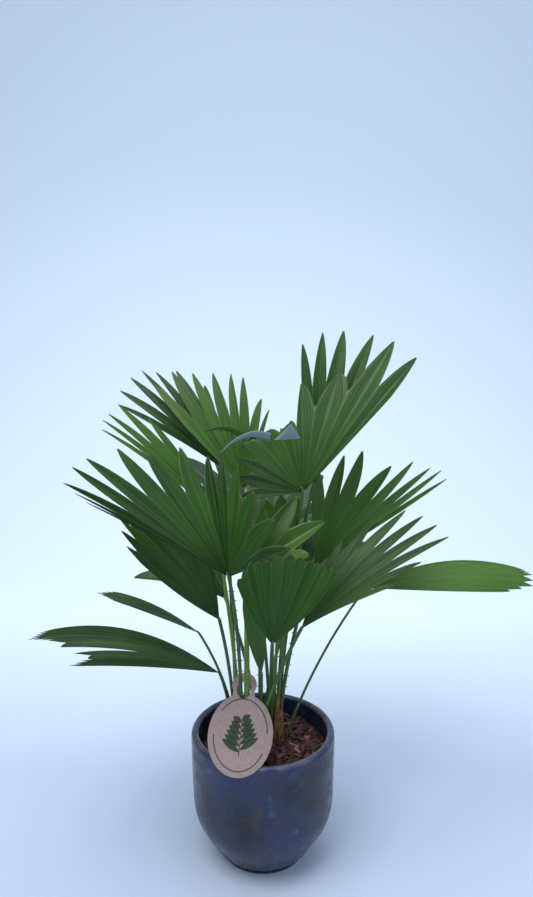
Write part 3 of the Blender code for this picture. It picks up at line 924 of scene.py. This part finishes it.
def soil_bed():
    """The lumpy bed under the chips: points, faces and tints."""
    top = SOIL_LEVEL - BED_SINK
    points, faces, tint = [np.array((0.0, 0.0, top))], [], [BED_MIDDLE_TINT]
    for ring in range(1, BED_RINGS + 1):
        radius = SOIL_RADIUS * ring / BED_RINGS
        for side in range(BED_SIDES):
            angle = math.tau * side / BED_SIDES
            lump = RANDOM.uniform(*BED_LUMPS) if ring < BED_RINGS else 0.0
            level = top - soil_drop(radius) + lump
            points.append(np.array((radius * math.cos(angle), radius * math.sin(angle), level)))
            tint.append(RANDOM.uniform(*BED_TINT))
    for side in range(BED_SIDES):
        faces.append((0, 1 + side, 1 + (side + 1) % BED_SIDES))
    for ring in range(BED_RINGS - 1):
        for side in range(BED_SIDES):
            a = 1 + ring * BED_SIDES + side
            b = 1 + ring * BED_SIDES + (side + 1) % BED_SIDES
            faces.append((a, a + BED_SIDES, b + BED_SIDES, b))
    base = len(points)
    for side in range(BED_SIDES):
        angle = math.tau * side / BED_SIDES
        points.append(np.array((BED_FOOT_RADIUS * math.cos(angle), BED_FOOT_RADIUS * math.sin(angle),
                                BED_FOOT_LEVEL)))
        tint.append(BED_FOOT_TINT)
    rim = 1 + (BED_RINGS - 1) * BED_SIDES
    for side in range(BED_SIDES):
        after = (side + 1) % BED_SIDES
        faces.append((rim + side, base + side, base + after, rim + after))
    faces.append(tuple(base + side for side in range(BED_SIDES - 1, -1, -1)))
    return points, faces, tint


def soil():
    """A lumpy bed of soil with bark chips on it."""
    points, faces, tint = soil_bed()
    for _ in range(CHIPS):
        size = RANDOM.uniform(*CHIP_SIZE)
        radius = (SOIL_RADIUS - CHIP_MARGIN - size) * math.sqrt(RANDOM.uniform(0, 1))
        angle = RANDOM.uniform(0, math.tau)
        level = SOIL_LEVEL - CHIP_SINK - soil_drop(radius) + RANDOM.uniform(0, CHIP_RISE)
        centre = (radius * math.cos(angle), radius * math.sin(angle), level)
        sizes = np.array((size, size * RANDOM.uniform(*CHIP_WIDTH), size * RANDOM.uniform(*CHIP_HEIGHT)))
        before = len(points)
        add_chip(centre, sizes, RANDOM.uniform(0, math.tau), points, faces)
        tint += [RANDOM.uniform(*CHIP_TINT) ** CHIP_TINT_POWER] * (len(points) - before)
    made = mesh_object("bark_bed", points, faces, (bark_finish(),), tint=tint, smooth=False)
    face_outwards(made)
    dress(made, "bark_soil", "soil")


def seat_on_card(piece):
    """Bring a piece drawn in the card's own plane to the card's place."""
    piece.location = [value * MM for value in CARD_PLACE]
    piece.rotation_euler = (math.radians(CARD_TILT), 0.0, math.radians(CARD_TURN))


def card():
    """The kraft card with its neck loop."""
    outline = []
    for step in range(CARD_STEPS):
        angle = math.tau * (step + 0.5) / CARD_STEPS + math.pi / 2
        x = CARD_HALF_WIDTH * math.cos(angle)
        y = CARD_HALF_LENGTH * math.sin(angle)
        if math.hypot(x, y - LOOP_MIDDLE) > LOOP_OUTER * NECK_CLEARANCE:
            outline.append((x, y))
    for step in range(LOOP_STEPS + 1):
        angle = math.radians(LOOP_START + LOOP_SWEEP * step / LOOP_STEPS)
        outline.append((LOOP_OUTER * math.cos(angle), LOOP_MIDDLE + LOOP_OUTER * math.sin(angle)))
    hole = [(LOOP_HOLE * math.cos(math.tau * step / LOOP_STEPS),
             LOOP_ABOVE + LOOP_HOLE_LENGTH * math.sin(math.tau * step / LOOP_STEPS))
            for step in range(LOOP_STEPS)]
    curve = bpy.data.curves.new("kraft_card", "CURVE")
    curve.dimensions = "2D"
    curve.fill_mode = "BOTH"
    curve.extrude = CARD_THICKNESS / 2 * MM
    for line in (outline, hole):
        spline = curve.splines.new("POLY")
        spline.points.add(len(line) - 1)
        for point, (x, y) in zip(spline.points, line):
            point.co = (x * MM, y * MM, 0.0, 1.0)
        spline.use_cyclic_u = True
    made = bpy.data.objects.new("kraft_card", curve)
    curve.materials.append(card_finish())
    bpy.context.scene.collection.objects.link(made)
    seat_on_card(made)
    dress(made, "brown_card", "card")


def arc_outline(start, sweep):
    """The outline of a thin arc that follows the card's edge."""
    inner, outer = [], []
    for step in range(ARC_STEPS + 1):
        angle = math.radians(start + sweep * step / ARC_STEPS)
        for line, inset in ((inner, ARC_INNER_INSET), (outer, ARC_OUTER_INSET)):
            line.append(((CARD_HALF_WIDTH - inset) * math.cos(angle),
                         (CARD_HALF_LENGTH - inset) * math.sin(angle)))
    return inner + outer[::-1]


def sprig_leaf(pair, side):
    """The outline of one pointed leaf of the sprig."""
    length = SPRIG_LEAF - SPRIG_SHRINK * pair
    way = np.array((side * math.cos(SPRIG_SLANT), math.sin(SPRIG_SLANT)))
    normal = np.array((-way[1], way[0])) * SPRIG_HALF_WIDTH
    root = np.array((SPRIG_ROOT[0], SPRIG_START + SPRIG_SPACING * pair + SPRIG_ROOT[1] * side))
    there = np.linspace(0, 1, SPRIG_STEPS + 1)
    outline = [root + way * length * share + normal * sign * math.sin(math.pi * share) ** SPRIG_ROUNDING
               for sign, run in ((1, there), (-1, there[-2:0:-1])) for share in run]
    return [tuple(point) for point in outline]


def card_print():
    """A plain sprig of pointed leaves inside two thin arcs."""
    shapes = [arc_outline(*arc) for arc in ARCS] + [SPRIG_STALK]
    shapes += [sprig_leaf(pair, side) for pair in range(SPRIG_PAIRS) for side in (-1, 1)]
    level = CARD_THICKNESS / 2 + PRINT_LIFT
    points, faces = [], []
    for outline in shapes:
        first = len(points)
        size = len(outline)
        for lift in (level, level - PRINT_LIFT):
            points.extend((x, y, lift) for x, y in outline)
        faces.append(tuple(range(first, first + size)))
        faces.append(tuple(range(first + 2 * size - 1, first + size - 1, -1)))
        for step in range(size):
            after = (step + 1) % size
            faces.append((first + step, first + size + step, first + size + after, first + after))
    made = mesh_object("card_print", points, faces, (ink_finish(),), smooth=False)
    face_outwards(made)
    seat_on_card(made)
    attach(made, "root")


def floor():
    """A pale floor that sweeps up into a backdrop."""
    points, faces = [], []
    for step in range(FLOOR_STEPS + 1):
        run = -FLOOR_HALF_DEPTH + 2 * FLOOR_HALF_DEPTH * step / FLOOR_STEPS
        rise = max(0.0, (run - SWEEP_START) / SWEEP_SIZE) ** 2 * SWEEP_SIZE
        points += [(-FLOOR_HALF_WIDTH, run, rise), (FLOOR_HALF_WIDTH, run, rise)]
    for step in range(FLOOR_STEPS):
        faces.append((2 * step, 2 * step + 1, 2 * step + 3, 2 * step + 2))
    made = mesh_object("floor", points, faces, (floor_finish(),))


def lights():
    """The sky and the soft lamps."""
    world = bpy.data.worlds.new("Studio")
    world.use_nodes = True
    sky = world.node_tree.nodes["Background"]
    sky.inputs["Color"].default_value = SKY_COLOUR
    sky.inputs["Strength"].default_value = SKY_STRENGTH
    bpy.context.scene.world = world
    for name, place, aim, energy, size in LAMPS:
        light = bpy.data.lights.new(name, "AREA")
        light.energy = energy
        light.size = size
        lamp = bpy.data.objects.new(name, light)
        lamp.location = [value * MM for value in place]
        x, y, z = np.array(aim, float) - np.array(place)
        tilt = math.atan2(math.hypot(x, y), -z)
        lamp.rotation_euler = (tilt, 0.0, math.atan2(y, x) - math.pi / 2)
        bpy.context.scene.collection.objects.link(lamp)


def camera():
    """The camera, at the photograph's angle."""
    view = bpy.data.cameras.new("Camera")
    view.sensor_width = SENSOR
    view.lens = SENSOR * FOCAL_PIXELS / FRAME_HEIGHT
    made = bpy.data.objects.new("Camera", view)
    made.location = [value * MM for value in CAMERA_PLACE]
    made.rotation_euler = (math.radians(90 - CAMERA_PITCH), 0.0, 0.0)
    bpy.context.scene.collection.objects.link(made)
    bpy.context.scene.camera = made
    bpy.context.scene.view_settings.view_transform = "Standard"


def plant():
    """Every frond, petiole, folded tip and stem base."""
    leaf = {name: leaf_finish(name, *tones) for name, tones in LEAF_FINISHES.items()}
    green = stalk_finish("Green stalk", (0.018, 0.055, 0.010), (0.07, 0.15, 0.025), (0.06, 0.028, 0.012))
    light = stalk_finish("Light stalk", (0.075, 0.17, 0.018), (0.19, 0.30, 0.035), (0.11, 0.09, 0.02))
    brown = fibre_finish("Brown sheath", (0.025, 0.010, 0.006), (0.11, 0.045, 0.022))
    straw = fibre_finish("Straw sheath", (0.06, 0.022, 0.010), (0.30, 0.17, 0.06))
    for name, rule in FRONDS.items():
        kind = "Fresh" if name in FRESH else "Leaf"
        blade(name, rule, leaf[kind + " upper"], leaf[kind + " under"])
        petiole(name, rule, light if name in LIGHT_STALKS else green)
    for name, (*shape, finish) in FOLDS.items():
        folded_tip(name, *shape, leaf[finish])
    for name in STEMS:
        stem(name, brown, straw)


floor()
lights()
camera()
pot()
soil()
card()
card_print()
plant()

bpy.context.view_layer.update()
